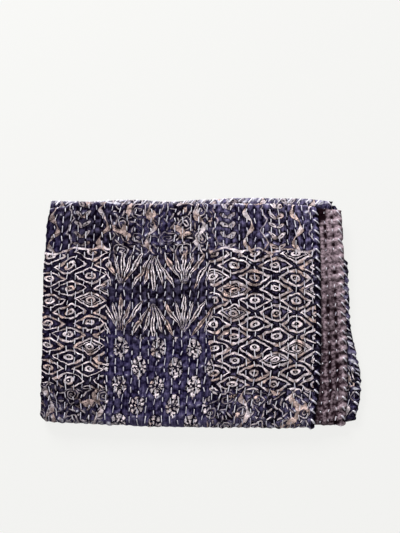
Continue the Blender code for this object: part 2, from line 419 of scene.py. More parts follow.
def quiltRelief(across, along, facing):
    # height of the outer surface over the plain cloth, and how worn the print is there, together with a
    # painted highlight on the crests, folds and ridge and painted shade at the pits and the strip's corner
    moved = across + rowDrift(across, along)
    swellPart, puckerPart, pitShade = 0.0, 0.0, 0.0
    if facing > 0 and across < 0:
        row = (moved + quilt["upperWidth"]) / rowPitch
        if along < wrapFrom + relief["start"][0]:
            return undersideRelief(row, across, along)
        swellPart, puckerPart, pitShade = upperRelief(row, across, along)
    elif across > stripFrom - 0.002:
        swellPart, puckerPart, pitShade = stripRelief(quilt["lowerWidth"] - moved, across, along, facing)
    side = 1 - ease((abs(across) / quarterTurn - 0.35) / 0.55)
    if facing > 0 and side > 0:
        sideCrest = puckerAt(quilting["rows"], along, upperPhases)
        puckerPart = max(puckerPart, relief["sideCrest"] * side * sideCrest)
    amount = unevenness(across, along)
    crumple = quilting["crumple"] * crumpleAt(across, along) * min(1.0, 1.2 * (swellPart + puckerPart))
    height = quilting["swell"] * swellPart * amount + quilting["pucker"] * puckerPart * amount + crumple
    worn = wearAndPaintedLightBy["swell"] * swellPart + wearAndPaintedLightBy["pucker"] * puckerPart * amount + wearAndPaintedLightBy["crumple"] * crumple
    if facing > 0:      # the far fold and the near fold have faded along their length, and carry a painted highlight there
        for strength, place, width in wearAndPaintedLightBy["folds"]:
            worn += strength * math.exp(-((along - place) / width) ** 2)
    if across < 0:
        nearHem = wearAndPaintedLightBy["nearHem"]
        worn *= nearHem + (1 - nearHem) * ease(min(hemDistances(across, along)) / wearAndPaintedLightBy["hemFade"])
    elif facing > 0:
        # painted highlight on the crests of the printed strip
        worn += wearAndPaintedLightBy["strip"] * puckerPart
    # painted highlight along the ridge of the last hem, and painted shade at the pits
    ridge, ridgeWidth = wearAndPaintedLightBy["ridge"]
    worn += ridge * (1 - ease((lastAlong - along) / ridgeWidth)) - quilting["pitShade"] * pitShade
    return max(height, 0.0), min(max(worn, -1.0), 1.0)


def hemDistances(across, along):
    return (across + quilt["upperWidth"], quilt["lowerWidth"] - across, along - firstAlong, lastAlong - along)


def drawnIn(across, along):
    # the overcast thread pulls each hem in where it bites, which leaves small scallops
    upper, lower, first, last = hemDistances(across, along)
    reach, (depth, lowerDepth) = quilting["scallopReach"], quilting["scallop"]
    upperBite = 0.5 + 0.5 * math.cos(2 * math.pi * (along - upperPhases[0]) / pitch)
    lowerBite = 0.5 + 0.5 * math.cos(2 * math.pi * (along - lowerPhases[0]) / pitch)
    endBite = 0.5 + 0.5 * math.cos(2 * math.pi * across / pitch)
    newAcross = across + depth * (2 * upperBite - 1) * (1 - ease(upper / reach))
    newAcross -= lowerDepth * (2 * lowerBite - 1) * (1 - ease(lower / reach))
    newAlong = along + depth * endBite * ((1 - ease(first / reach)) - (1 - ease(last / reach)))
    return newAcross, newAlong


def hemRoundness(across, along):
    nearest = min(hemDistances(across, along))
    share = min(max(nearest / quilting["hemRound"], 0.0), 1.0)
    return math.sqrt(max(0.0, 1 - (1 - share) ** 2))


def surfaceOut(across, along, facing):
    # distance of the outer surface from the middle of the quilt
    roundness = hemRoundness(across, along)
    height, worn = quiltRelief(across, along, facing)
    return quilt["gap"] / 2 * (0.2 + 0.8 * roundness) + (quilt["sheet"] + height) * roundness, worn


# How finely the two cottons are cut into panels
mesh = {
    "runRows": 14,            # rows of panels along a run
    "wrapRows": 16,
    "farFoldRows": 12,
    "innerFoldRows": 8,
    "sideFoldPanels": 10,
    "hiddenPanels": 8,
    "shownCuts": (5, 10),     # cuts across and along a panel that shows
    "edgeCuts": 6,
    "underCuts": 3,
    "longestSide": 0.005,     # a panel side shorter than this isn't cut again
    "beforeStrip": 0.012,
    "ridge": 0.013,           # the last part of the cloth, which shows as a ridge
}
hemSteps = (0.0, 0.0004, 0.0010, 0.0022)
ridgeFrom = lastAlong - mesh["ridge"]


def spread(start, end, count):
    return [start + (end - start) * index / count for index in range(count)]


def clothColumns():
    upper, lower = quilt["upperWidth"], quilt["lowerWidth"]
    columns = [-upper + step for step in hemSteps]
    columns += [-upper + rowPitch * index for index in range(1, quilting["rows"])]
    columns += spread(-quarterTurn, quarterTurn, mesh["sideFoldPanels"])
    columns += spread(quarterTurn, stripFrom - mesh["beforeStrip"], mesh["hiddenPanels"])
    columns += [stripFrom - mesh["beforeStrip"]]
    columns += spread(stripFrom, lower - hemSteps[-1], 3)
    columns += [lower - step for step in reversed(hemSteps)]
    return columns


def clothRows():
    counts = {
        "bottom fold": mesh["wrapRows"],
        "top fold": mesh["farFoldRows"],
        "second fold": mesh["innerFoldRows"],
    }
    rows = []
    for leg in legs:
        start, end = leg["from"], leg["from"] + leg["length"]
        if leg is legs[0]:
            rows += [start + step for step in hemSteps[:-1]]
            start += hemSteps[-1]
        if leg is legs[-1]:
            end = ridgeFrom
        rows += spread(start, end, counts.get(leg["name"], mesh["runRows"]))
    rows += spread(ridgeFrom, lastAlong - hemSteps[-1], 5)
    rows += [lastAlong - step for step in reversed(hemSteps)]
    return rows


def flatCloth(columns, rows):
    # a flat closed sheet; z is 0 on the side that faces the other cotton and 1 on the outer side
    sheet = bmesh.new()
    bmesh.ops.create_grid(sheet, x_segments=len(columns) - 1, y_segments=len(rows) - 1, size=1)
    for vert in sheet.verts:
        column = round((vert.co.x + 1) / 2 * (len(columns) - 1))
        row = round((vert.co.y + 1) / 2 * (len(rows) - 1))
        vert.co = (columns[column], rows[row], 0.0)
    bmesh.ops.solidify(sheet, geom=sheet.faces[:], thickness=1.0)
    for vert in sheet.verts:
        vert.co.z = 1.0 if abs(vert.co.z) > 0.5 else 0.0
    return sheet


def cutZone(sheet, acrossSpan, alongSpan, cutsAcross, cutsAlong):
    # finer panels on the outer side, where the cloth shows
    for axis, cuts in ((0, cutsAcross), (1, cutsAlong)):
        chosen = []
        for edge in sheet.edges:
            a, b = edge.verts[0].co, edge.verts[1].co
            if a.z < 0.5 or b.z < 0.5 or abs(a[1 - axis] - b[1 - axis]) > 1e-6:
                continue
            middle = (a + b) / 2
            shown = acrossSpan[0] < middle.x < acrossSpan[1] and alongSpan[0] < middle.y < alongSpan[1]
            if shown and abs(a[axis] - b[axis]) > mesh["longestSide"]:
                chosen.append(edge)
        if chosen and cuts:
            bmesh.ops.subdivide_edges(sheet, edges=chosen, cuts=cuts, use_grid_fill=True)


def putInOrder(parts, key):
    rank = {part: place for place, part in enumerate(sorted(parts, key=key))}
    parts.sort(key=lambda part: rank[part])
    parts.index_update()


def fixOrder(sheet):
    # solidify gives its walls in an order that changes from run to run
    putInOrder(sheet.verts, lambda vert: tuple(vert.co))
    for parts in (sheet.edges, sheet.faces):
        putInOrder(parts, lambda part: sorted(vert.index for vert in part.verts))


def foldCloth(name, sheet, facing):
    flat = sheet.loops.layers.uv.new("flat")
    wearAndLightLayer = sheet.verts.layers.float.new("worn")
    for face in sheet.faces:
        for loop in face.loops:
            loop[flat].uv = (-loop.vert.co.x, loop.vert.co.y)
    for vert in sheet.verts:
        across, along, side = vert.co
        roundness = hemRoundness(across, along)
        out = quilt["gap"] / 2 * (0.2 + 0.8 * roundness)
        if side > 0.5:
            out, vert[wearAndLightLayer] = surfaceOut(across, along, facing)
        movedAcross, movedAlong = drawnIn(across, along)
        vert.co = bendPoint(movedAcross, movedAlong, facing * out)
    bmesh.ops.triangulate(sheet, faces=sheet.faces[:])
    bmesh.ops.recalc_face_normals(sheet, faces=sheet.faces[:])
    fixOrder(sheet)
    for face in sheet.faces:
        face.smooth = True
    return finishPiece(name, sheet)


def finishPiece(name, shape):
    data = bpy.data.meshes.new(name)
    shape.to_mesh(data)
    shape.free()
    piece = bpy.data.objects.new(name, data)
    bpy.context.scene.collection.objects.link(piece)
    return piece


def makeCloths():
    # both cottons, finer where they show: the spans across and along, and the cuts either way
    upper, lower, thin = quilt["upperWidth"], quilt["lowerWidth"], hemSteps[-1]
    across, along = mesh["shownCuts"]
    edgeCuts, underCuts = mesh["edgeCuts"], mesh["underCuts"]
    upperHalf, strip, sideFold = (-upper, -quarterTurn), (stripFrom, lower), (-quarterTurn, quarterTurn)
    whole, topRun, ridge = (firstAlong, lastAlong), (wrapFrom, secondFrom), (ridgeFrom, lastAlong)
    zones = {
        "face.cloth": (
            (upperHalf, topRun, across, along), (sideFold, whole, 0, edgeCuts),
            (strip, (secondFrom, innerFrom), across, along), ((lower - thin, lower), whole, 0, edgeCuts),
            (upperHalf, ridge, across, 0), (upperHalf, (firstAlong, wrapFrom), underCuts, 0),
        ),
        "back.cloth": (
            (strip, topRun, across, along), ((lower - thin, lower), whole, 0, edgeCuts),
            ((-upper, -upper + thin), whole, 0, edgeCuts),
        ),
    }
    cloths = []
    for (name, spans), facing in zip(zones.items(), (1, -1)):
        sheet = flatCloth(clothColumns(), clothRows())
        for span in spans:
            cutZone(sheet, *span)
        cloths.append(foldCloth(name, sheet, facing))
    return cloths


faceCloth, backCloth = makeCloths()
print("cottons folded:", len(faceCloth.data.polygons), len(backCloth.data.polygons))

# The cream thread, in metres unless a note says otherwise
thread = {
    "halfWidth": 0.00058,
    "halfHeight": 0.00050,
    "stand": 0.00034,         # middle of a stitch over the cloth
    "dip": 0.00065,           # its ends go in by this much
    "sides": 5,
    "endTaper": 0.55,
    "lengthSpread": 0.42,
    "greyShare": 0.60,        # how grey the dullest stitch is
    "widthSpread": 0.32,
    "missing": 0.040,         # share of stitches worn away
    "slant": 0.0013,
    "overcastReach": 0.0076,
    "overcastSlant": 0.0064,
    "overcastWidth": 1.85,    # times the running thread's
    "cornerGap": 0.006,       # the overcast stops this far from a corner
    "beforeTop": 0.02,        # and its slant changes sides this far before the top run
    "clearance": 0.00005,     # the least height over what the quilt lies on
    "seed": 7,
}


def threadTemplate(rings):
    # a short closed tube; x and y go round it, z runs from 0 to 1 along it
    shape = bmesh.new()
    bmesh.ops.create_cone(
        shape, cap_ends=True, segments=thread["sides"], radius1=1, radius2=1, depth=1
    )
    upright = [edge for edge in shape.edges if abs(edge.verts[0].co.z - edge.verts[1].co.z) > 0.5]
    bmesh.ops.subdivide_edges(shape, edges=upright, cuts=rings - 2)
    bmesh.ops.translate(shape, verts=shape.verts[:], vec=(0, 0, 0.5))
    data = bpy.data.meshes.new("thread template")
    shape.to_mesh(data)
    shape.free()
    return data


def threadRings(path, widthShare):
    # for each ring of a thread: its centre in the flat cloth and the two directions round it
    rings = []
    for index, centre in enumerate(path):
        before, after = path[max(index - 1, 0)], path[min(index + 1, len(path) - 1)]
        tangent = (after - before).normalized()
        sideways = tangent.cross(Vector((0, 0, 1)))
        if sideways.length < 1e-6:
            sideways = Vector((1, 0, 0))
        sideways.normalize()
        upward = sideways.cross(tangent)
        size = thread["endTaper"] if index in (0, len(path) - 1) else 1.0
        width, height = thread["halfWidth"] * widthShare * size, thread["halfHeight"] * size
        rings.append((centre, sideways * width, upward * height))
    return rings


def sewThreads(name, paths, rng, widthShare=1.0):
    rings = len(paths[0])
    template = threadTemplate(rings)
    spots = [(v.co.x, v.co.y, round(v.co.z * (rings - 1))) for v in template.vertices]
    shape = bmesh.new()
    toneLayer = shape.verts.layers.float.new("tone")
    for _ in paths:
        shape.from_mesh(template)
    bpy.data.meshes.remove(template)
    uneven = [1 + thread["widthSpread"] * rng.uniform(-1, 1) for _ in paths]
    ringSets = [threadRings(path, widthShare * share) for path, share in zip(paths, uneven)]
    tones = [thread["greyShare"] / widthShare * rng.random() ** 2 for _ in paths]
    for index, vert in enumerate(shape.verts):
        which, spot = divmod(index, len(spots))
        x, y, ring = spots[spot]
        centre, sideways, upward = ringSets[which][ring]
        point = centre + sideways * x + upward * y
        vert.co = bendPoint(point.x, point.y, point.z)
        vert.co.z = max(vert.co.z, thread["clearance"])
        vert[toneLayer] = tones[which]
    bmesh.ops.recalc_face_normals(shape, faces=shape.faces[:])
    for face in shape.faces:
        face.smooth = True
    return finishPiece(name, shape)


def runningStitches(rng, rowsAcross, phases, alongSpan, facing, length, rings):
    # rowsAcross pairs a row's place across the cloth with its number; facing is the side it shows on
    paths = []
    for across, number in rowsAcross:
        start = phases[number] + (0.0 if facing > 0 else pitch / 2)
        first = math.ceil((alongSpan[0] - start) / pitch)
        for step in range(first, int((alongSpan[1] - start) / pitch) + 1):
            middle = start + step * pitch + rng.uniform(-0.08, 0.08) * pitch
            own = length * (1 + rng.uniform(-1, 1) * thread["lengthSpread"])
            slant = rng.uniform(-1, 1) * thread["slant"]
            worn = rng.random() < thread["missing"]
            if worn or middle - own / 2 < alongSpan[0] or middle + own / 2 > alongSpan[1]:
                continue
            path = []
            for ring in range(rings):
                t = 2 * ring / (rings - 1) - 1
                along = middle + t * own / 2
                place = across - rowDrift(across, along) + slant * t
                height = thread["stand"] - (thread["stand"] + thread["dip"]) * abs(t) ** 4
                out = surfaceOut(place, along, facing)[0] + height
                path.append(Vector((place, along, facing * out)))
            paths.append(path)
    return paths


def overcastStitches(rng, hemPoint, span, phase, facing, way=1):
    # hemPoint(inward, sideways) gives the place in the flat cloth; facing is the side the slant shows on
    reach, slant = thread["overcastReach"], thread["overcastSlant"] * way
    dip, stand = -thread["dip"], thread["stand"]
    steps = (   # shares of the reach and the slant, the side of the quilt, and the height over it
        (1.00, 1.00, facing, dip), (0.82, 0.84, facing, stand), (0.42, 0.50, facing, stand),
        (0.10, 0.20, facing, stand), (-0.09, 0.0, 0, 0.0), (0.10, -0.10, -facing, stand),
        (0.42, -0.16, -facing, dip),
    )
    paths = []
    for step in range(math.ceil((span[0] - phase) / pitch), int((span[1] - phase) / pitch) + 1):
        middle = phase + step * pitch + rng.uniform(-0.06, 0.06) * pitch
        ownReach = reach * (1 + rng.uniform(-0.18, 0.18))
        path = []
        for inward, sideways, side, height in steps:
            across, along = hemPoint(inward * ownReach, middle + sideways * slant)
            heldAcross = min(max(across, -quilt["upperWidth"]), quilt["lowerWidth"])
            heldAlong = min(max(along, firstAlong), lastAlong)
            out = surfaceOut(heldAcross, heldAlong, side)[0] + height if side else 0.0
            movedAcross, movedAlong = drawnIn(across, along)
            path.append(Vector((movedAcross, movedAlong, side * out)))
        paths.append(path)
    return paths


def makeThreads():
    rng = random.Random(thread["seed"])
    upper, lower = quilt["upperWidth"], quilt["lowerWidth"]
    upperRows = [(-upper + rowPitch * number, number) for number in range(1, quilting["rows"])]
    firstRow, nextRows = quilting["stripRows"]
    stripRows = [(lower - firstRow - nextRows * number, number + 1) for number in range(3)]
    shownRun, ridgeRun = (wrapFrom + 0.004, secondFrom - 0.001), (ridgeFrom, lastAlong - 0.001)
    stitch, hiddenSide = quilting["stitch"], pitch - quilting["stitch"]
    pieces = []
    top = runningStitches(rng, upperRows, upperPhases, shownRun, 1, stitch, 6)
    pieces.append(sewThreads("thread.top", top, rng))
    ridge = runningStitches(rng, upperRows, upperPhases, ridgeRun, 1, 0.75 * stitch, 6)
    strip = runningStitches(rng, stripRows, lowerPhases, (secondFrom + 0.002, innerFrom), 1, stitch, 6)
    pieces.append(sewThreads("thread.edges", ridge + strip, rng))
    under = runningStitches(rng, upperRows, upperPhases, (firstAlong + 0.004, wrapFrom), 1, stitch, 5)
    pieces.append(sewThreads("thread.under", under, rng))
    backStrip = runningStitches(rng, stripRows[:1], lowerPhases, shownRun, -1, hiddenSide * 1.5, 5)
    backStrip += runningStitches(rng, stripRows[1:], lowerPhases, shownRun, -1, hiddenSide * 0.8, 5)
    pieces.append(sewThreads("thread.back", backStrip, rng))
    corner, turnedAt = thread["cornerGap"], topFrom - thread["beforeTop"]
    low, high = firstAlong + corner, lastAlong - corner
    overcast = overcastStitches(rng, lambda i, s: (-upper + i, s), (low, high), upperPhases[0], 1)
    turns = (low, turnedAt, farFoldFrom, innerFrom, high)
    for span, facing in zip(zip(turns, turns[1:]), (1, -1, 1, -1)):
        overcast += overcastStitches(rng, lambda i, s: (lower - i, s), span, lowerPhases[0], facing, -facing)
    for hem, way in ((firstAlong, 1), (lastAlong, -1)):
        for span in ((corner - upper, -quarterTurn), (quarterTurn, lower - corner)):
            overcast += overcastStitches(rng, lambda i, s: (s, hem + way * i), span, 0.0, 1)
    pieces.append(sewThreads("thread.overcast", overcast, rng, thread["overcastWidth"]))
    return pieces


threads = makeThreads()
print("threads sewn:", [(piece.name, len(piece.data.polygons)) for piece in threads])


def linearColour(hexCode):
    channels = [int(hexCode[index:index + 2], 16) / 255 for index in (1, 3, 5)]
    return [c / 12.92 if c <= 0.04045 else ((c + 0.055) / 1.055) ** 2.4 for c in channels] + [1.0]


def addNode(tree, kind, settings=None, links=None):
    # settings name a property of the node or one of its inputs; links give an input its socket
    node = tree.nodes.new(kind)
    for key, value in (settings or {}).items():
        if isinstance(key, int) or key in node.inputs:
            node.inputs[key].default_value = value
        else:
            setattr(node, key, value)
    for key, socket in (links or {}).items():
        tree.links.new(socket, node.inputs[key])
    return node


# words of a recipe that aren't plain sums: the node, its settings, the inputs it takes in turn, its output
recipeWords = {
    "flatCloth": ("ShaderNodeUVMap", {"uv_map": "flat"}, (), "UV"),
    "objectPlace": ("ShaderNodeTexCoord", {}, (), "Object"),
    "pieceValue": ("ShaderNodeAttribute", {}, ("attribute_name",), "Fac"),
    "first": ("ShaderNodeSeparateXYZ", {}, (0,), 0),
    "second": ("ShaderNodeSeparateXYZ", {}, (0,), 1),
    "pair": ("ShaderNodeCombineXYZ", {}, (0, 1), 0),
    "chance": ("ShaderNodeTexWhiteNoise", {"noise_dimensions": "2D"}, ("Vector",), "Value"),
    "grain": ("ShaderNodeTexNoise", {}, ("Vector", "Scale", "Detail"), "Fac"),
    "colouredGrain": ("ShaderNodeTexNoise", {}, ("Vector", "Scale", "Detail"), "Color"),
    "held": ("ShaderNodeClamp", {}, (0, 1, 2), 0),
    "mix": ("ShaderNodeMix", {"data_type": "RGBA"}, (0, 6, 7), 2),
    "bump": ("ShaderNodeBump", {}, ("Strength", "Distance", "Height"), "Normal"),
    "bumpOver": ("ShaderNodeBump", {}, ("Strength", "Distance", "Height", "Normal"), "Normal"),
}
sums = {
    "*+": "MULTIPLY_ADD", "*": "MULTIPLY", "/": "DIVIDE", "+": "ADD", "-": "SUBTRACT", "max": "MAXIMUM",
    "min": "MINIMUM", ">": "GREATER_THAN", "<": "LESS_THAN", "near": "COMPARE", "abs": "ABSOLUTE",
}


def makeWire(tree, wires, word, *inputs):
    plainSum = ("ShaderNodeMath", {"operation": sums.get(word, word)}, (0, 1, 2), 0)
    kind, fixed, slots, output = recipeWords.get(word, plainSum)
    settings, links = dict(fixed), {}
    for slot, value in zip(slots, inputs):
        if isinstance(value, tuple):
            links[slot] = makeWire(tree, wires, *value)
        elif value in wires:
            links[slot] = wires[value]
        else:
            value = look.get(value, wear.get(value, value))
            settings[slot] = linearColour(value) if str(value)[0] == "#" else value
    return addNode(tree, kind, settings, links).outputs[output]


def followRecipe(tree, rows):
    # each row is a result, what makes it and its inputs: an earlier result, a tuple that is made like a row,
    # the name of a value in look or wear, or a plain setting
    wires = {}
    for result, *making in rows:
        wires[result] = makeWire(tree, wires, *making)
    return wires


def newMaterial(name, settings):
    material = bpy.data.materials.new(name)
    material.use_nodes = True
    shader = material.node_tree.nodes["Principled BSDF"]
    for key, value in settings.items():
        shader.inputs[key].default_value = value
    return material, shader


# The print, in millimetres over the flat cloth: p from the side fold towards the upper hem, q along
printPlan = {
    "repeat": (320.0, 345.0),
    "latticeFrom": -68.0,            # p where a lattice column starts
    "latticeWidth": 165.0,
    "latticeSpan": (-117.0, 205.0),  # q where the lattice starts, and its length
    "vineLength": 70.0,
    "middleFrom": -175.0,            # q where the sprigs start
    "sprigLength": 136.0,
    "fanLength": 124.0,
    "columnStray": (22.0, 13.0),     # how far a column's side strays, broadly and finely
    "edgeWave": (47.0, 2.6),         # the line past a lattice: length and height of its waves,
    "edgeLine": (3.0, 1.5),          # its place and half its width
    "plainHems": (-446.0, 407.0),    # no print past these
}

# Each motif: its cell, the centre of one cell, its sizes, and how far the dye is darker round it. A line is
# where it lies and half its width, as shares of the motif's size.
lozenge = {
    "cell": (61.5, 35.2),
    "centre": (-52.0, 14.8),
    "almond": (2.05, 2.1),
    "bow": 0.30,              # how much of the almond its sides have
    "flatTop": 1.08,
    "corner": 0.12,
    "band": 0.705,
    "bandHalf": (0.09, -0.071),  # a share of the distance from the fold, and what is added
    "bandGrain": 0.27,
    "bandDark": 0.22,
    "thinLine": (0.46, 0.024),
    "thinLineOver": 0.80,     # the share of lozenges without it
    "eye": (7.9, 5.0),
    "eyeRough": 1.5,
    "eyeRing": (0.74, 0.23),
    "eyeDot": 0.14,
    "eyeDark": 1.3,
}
fan = {
    "cell": (93.0, 72.0),
    "centre": (118.0, -35.0),
    "below": 9.0,             # from the edge of the cell to the base of the leaves
    "otherBase": 49.0,        # base of the fan that hangs beside it
    "border": (0.78, 18.0),   # slope of the line between the two and the height of its middle
    "reach": (5.0, 60.0),
    "rayAngle": 0.280,
    "rays": 2.5,              # to either side
    "shorter": 0.44,          # every other leaf
    "leafWidth": 0.078,
    "leastHalf": 0.3,
    "rough": 2.0,
    "line": (0.76, 0.33),
    "body": 0.48,
    "bodyInk": (0.52, 0.22),  # grain over which a leaf is filled, and how strongly
    "dark": 1.7,
}
sprig = {
    "cell": (55.0, 56.0),
    "centre": (118.0, -56.0),
    "oval": (9.8, 13.6),
    "rough": (3.0, 3.2),
    "petals": (8.0, -0.35, 0.84, 0.21),  # number, gap, line
    "buds": (5.0, -0.1, 0.40, 0.14),
    "budTurn": 1.2,
    "stem": (0.9, -13.0, 5.5),  # half its width, its middle and half its length
    "printedOver": 0.43,
    "dark": 1.15,
}
scroll = {
    "leafCell": (17.0, 12.5),
    "leafCentre": (5.0, 3.0),
    "leaf": (5.2, 1.15),
    "leafRough": 3.0,
    "leafDark": 1.75,
    "cell": (47.0, 40.0),
    "centre": (140.0, 110.0),
    "curl": (13.5, 11.5),
    "bend": 0.8,
    "turns": 2.5,
    "line": (0.5, 0.16),
    "dark": (0.5, 0.32),
    "size": 1.35,
    "emptyUnder": 0.35,       # share of cells without a curl
    "rolledUnder": 0.70,      # the rest of them under this roll up, the others are rings
    "blotch": (0.10, 0.69),
}
vine = {
    "pitch": 74.0,
    "start": 12.0,
    "swing": (46.0, 6.5),     # length and height of its waves
    "half": (1.7, 2.5),       # how much half its width changes, and what it is on the whole
    "rough": 16.0,
    "dark": 1.5,
    "zigzag": (17.0, 0.55),   # length of its arms and their slope
    "zigzagLine": (28.5, 1.0),
    "zigzagRough": 8.0,
    "column": (0.57, 6.0),    # the paired leaves' place between two vines, and from their middle
    "step": 15.0,
    "tilt": 0.62,
    "leaf": (6.4, 2.6),
    "leafRough": 3.0,
    "leafLine": (0.70, 0.35),
    "leafDark": 1.4,
}


def staggered(prefix, cell, centre):
    # offsets x and y from the nearest centre of a brick-like layout, and a number of that centre's own
    (width, height), (centreP, centreQ) = cell, centre
    a, b, s, t, i, j, fs, ft = [prefix + part for part in ("a", "b", "s", "t", "i", "j", "fs", "ft")]
    return [
        (a, "*+", "p", 1 / width, -centreP / width),
        (b, "*+", "q", 1 / height, -centreQ / height),
        (s, "+", a, b),
        (t, "-", a, b),
        (i, "ROUND", s),
        (j, "ROUND", t),
        (fs, "-", s, i),
        (ft, "-", t, j),
        (prefix + "x", "*", ("+", fs, ft), width / 2),
        (prefix + "y", "*", ("-", fs, ft), height / 2),
        (prefix + "id", "chance", ("pair", i, j)),
    ]


def nearestLine(name, place, pitch, start):
    # distance from the nearest of a row of lines
    turns = name + "Turns"
    return [
        (turns, "*+", place, 1 / pitch, -start / pitch),
        (name, "*", ("abs", ("-", turns, ("ROUND", turns))), pitch),
    ]


def ellipseRows(name, x, y, half):
    # 1 on the ellipse, less inside it
    u, v = name + "u", name + "v"
    return [(u, "*", x, 1 / half[0]), (v, "*", y, 1 / half[1]), (name, "SQRT", ("*+", v, v, ("*", u, u)))]


def turnedRows(prefix, angle):
    # x and y of a layout, turned by an angle
    x, y, cosine, sine = [prefix + part for part in ("x", "y", "cosine", "sine")]
    return [
        (cosine, "COSINE", angle),
        (sine, "SINE", angle),
        (prefix + "tx", "*+", y, sine, ("*", x, cosine)),
        (prefix + "ty", "-", ("*", y, cosine), ("*", x, sine)),
    ]


def zoned(*parts):
    # the sum of what each zone holds
    total = 0.0
    for part, zone in parts:
        total = ("*+", part, zone, total)
    return total


def clothRecipe():
    # the flat cloth's millimetres, the grains of unevenness and where the hand printing strays
    rows = [
        ("uv", "flatCloth"),
        ("u", "first", "uv"),
        ("v", "second", "uv"),
        ("fromFold", "abs", "u"),
        ("worn", "pieceValue", "worn"),
        ("stray", "colouredGrain", "uv", 1000 / look["straySize"], 1.0),
    ]
    for name, (size, detail) in look["grains"].items():
        rows.append((name, "grain", "uv", 1000 / size, detail))
    reach, bend = look["stray"] * 4, look["bend"] * 4
    for result, place, grain, channel in (("p", "u", "wideGrain", "first"), ("q", "v", "midGrain", "second")):
        bent = ("*+", grain, bend, -(reach + bend) / 2)
        rows.append((result, "*+", place, 1000.0, ("*+", (channel, "stray"), reach, bent)))
    return rows + [("rough", "*+", "fineGrain", *look["roughEdges"])]


def latticeRecipe():
    width, height = lozenge["cell"]
    almondX, almondY = lozenge["almond"]
    rows = staggered("l", lozenge["cell"], lozenge["centre"]) + ellipseRows("eye", "lx", "ly", lozenge["eye"])
    return rows + [
        ("lax", "abs", "lx"),
        ("lay", "abs", "ly"),
        ("tall", "*", "lay", 2 / height),
        ("diamond", "*+", "lax", 2 / width, "tall"),
        ("almond", "*+", ("*", "lax", "lax"), (almondX / width) ** 2, ("*", "lay", almondY / height)),
        ("sides", "*+", ("-", "almond", "diamond"), lozenge["bow"], "diamond"),
        ("top", "*+", "tall", lozenge["flatTop"], "rough"),
        ("form", "SMOOTH_MAX", ("+", "sides", "rough"), "top", lozenge["corner"]),
        ("bandHalf", "*+", "midGrain", lozenge["bandGrain"], ("*+", "fromFold", *lozenge["bandHalf"])),
        ("band", "near", "form", lozenge["band"], "bandHalf"),
        ("thinLine", "*", ("near", "form", *lozenge["thinLine"]), (">", "lid", lozenge["thinLineOver"])),
        ("eyeRough", "*+", "rough", lozenge["eyeRough"], "eye"),
        ("eyeInk", "max", ("near", "eyeRough", *lozenge["eyeRing"]), ("<", "eyeRough", lozenge["eyeDot"])),
        ("latticeInk", "max", ("max", "band", "thinLine"), "eyeInk"),
        ("bandDark", "near", "form", lozenge["band"], lozenge["bandDark"]),
        ("latticeDark", "max", "bandDark", ("<", "eyeRough", lozenge["eyeDark"])),
    ]


def fanRecipe():
    # sheaves of narrow leaves, every other one upside down
    (width, height), (centreP, centreQ), below = fan["cell"], fan["centre"], fan["below"]
    angle, (near, far), (slope, middle) = fan["rayAngle"], fan["reach"], fan["border"]
    half, halfTurn = width / 2, math.pi / (far - near)
    filledOver, filledInk = fan["bodyInk"]
    return nearestLine("uprightX", "p", width, centreP) + [
        ("uprightY", "-", ("FLOORED_MODULO", ("+", "q", below - centreQ), height), below),
        ("border", "*+", "uprightY", slope, half / 2 - middle * slope),
        ("flip", ">", "uprightX", "border"),
        ("fx", "*+", ("-", ("-", half, "uprightX"), "uprightX"), "flip", "uprightX"),
        ("fy", "*+", ("-", ("-", fan["otherBase"], "uprightY"), "uprightY"), "flip", "uprightY"),
        ("fr", "SQRT", ("*+", "fy", "fy", ("*", "fx", "fx"))),
        ("leaf", "*", ("ARCTAN2", "fx", "fy"), 1 / angle),
        ("leafNumber", "ROUND", "leaf"),
        ("leafSide", "abs", ("-", "leaf", "leafNumber")),
        ("sideMm", "*", ("*", "leafSide", "fr"), angle),
        ("leafStretch", "*+", ("FRACT", ("*", "leafNumber", 0.5)), fan["shorter"], 1.0),
        ("leafReach", "*", "fr", "leafStretch"),
        ("leafShape", "SINE", ("*+", "leafReach", halfTurn, -near * halfTurn)),
        ("leafHalf", "max", ("*", "leafShape", ("*", "fr", fan["leafWidth"])), fan["leastHalf"]),
        ("leafRough", "*+", "rough", fan["rough"], ("/", "sideMm", "leafHalf")),
        ("leafFilled", "*", ("<", "leafRough", fan["body"]), (">", "midGrain", filledOver)),
        ("leafInk", "*+", "leafFilled", filledInk, ("near", "leafRough", *fan["line"])),
        ("inReach", "near", "leafReach", (near + far) / 2, (far - near) / 2),
        ("leafIn", "*", ("<", "leaf", fan["rays"]), "inReach"),
        ("fanInk", "*", "leafInk", "leafIn"),
        ("fanDark", "*", ("<", "leafRough", fan["dark"]), "leafIn"),
    ]


def sprigRecipe():
    ovalRough, roundRough = sprig["rough"]
    petals, petalGap, *petalLine = sprig["petals"]
    buds, budGap, *budLine = sprig["buds"]
    stemHalf, *stemLength = sprig["stem"]
    return staggered("s", sprig["cell"], sprig["centre"]) + ellipseRows("oval", "sx", "sy", sprig["oval"]) + [
        ("ovalRough", "*+", "rough", ovalRough, "oval"),
        ("round", "*+", "rough", roundRough, ("ARCTAN2", "sx", "sy")),
        ("petalOn", ">", ("COSINE", ("*+", "round", petals, "sid")), petalGap),
        ("petalInk", "*", "petalOn", ("near", "ovalRough", *petalLine)),
        ("budOn", ">", ("COSINE", ("*+", "round", buds, sprig["budTurn"])), budGap),
        ("budInk", "*", "budOn", ("near", "ovalRough", *budLine)),
        ("stemInk", "*", ("<", ("abs", "sx"), stemHalf), ("near", "sy", *stemLength)),
        ("sprigLines", "max", ("max", "petalInk", "budInk"), "stemInk"),
        ("sprigInk", "*", "sprigLines", (">", "crumple", sprig["printedOver"])),
        ("sprigDark", "<", "ovalRough", sprig["dark"]),
    ]


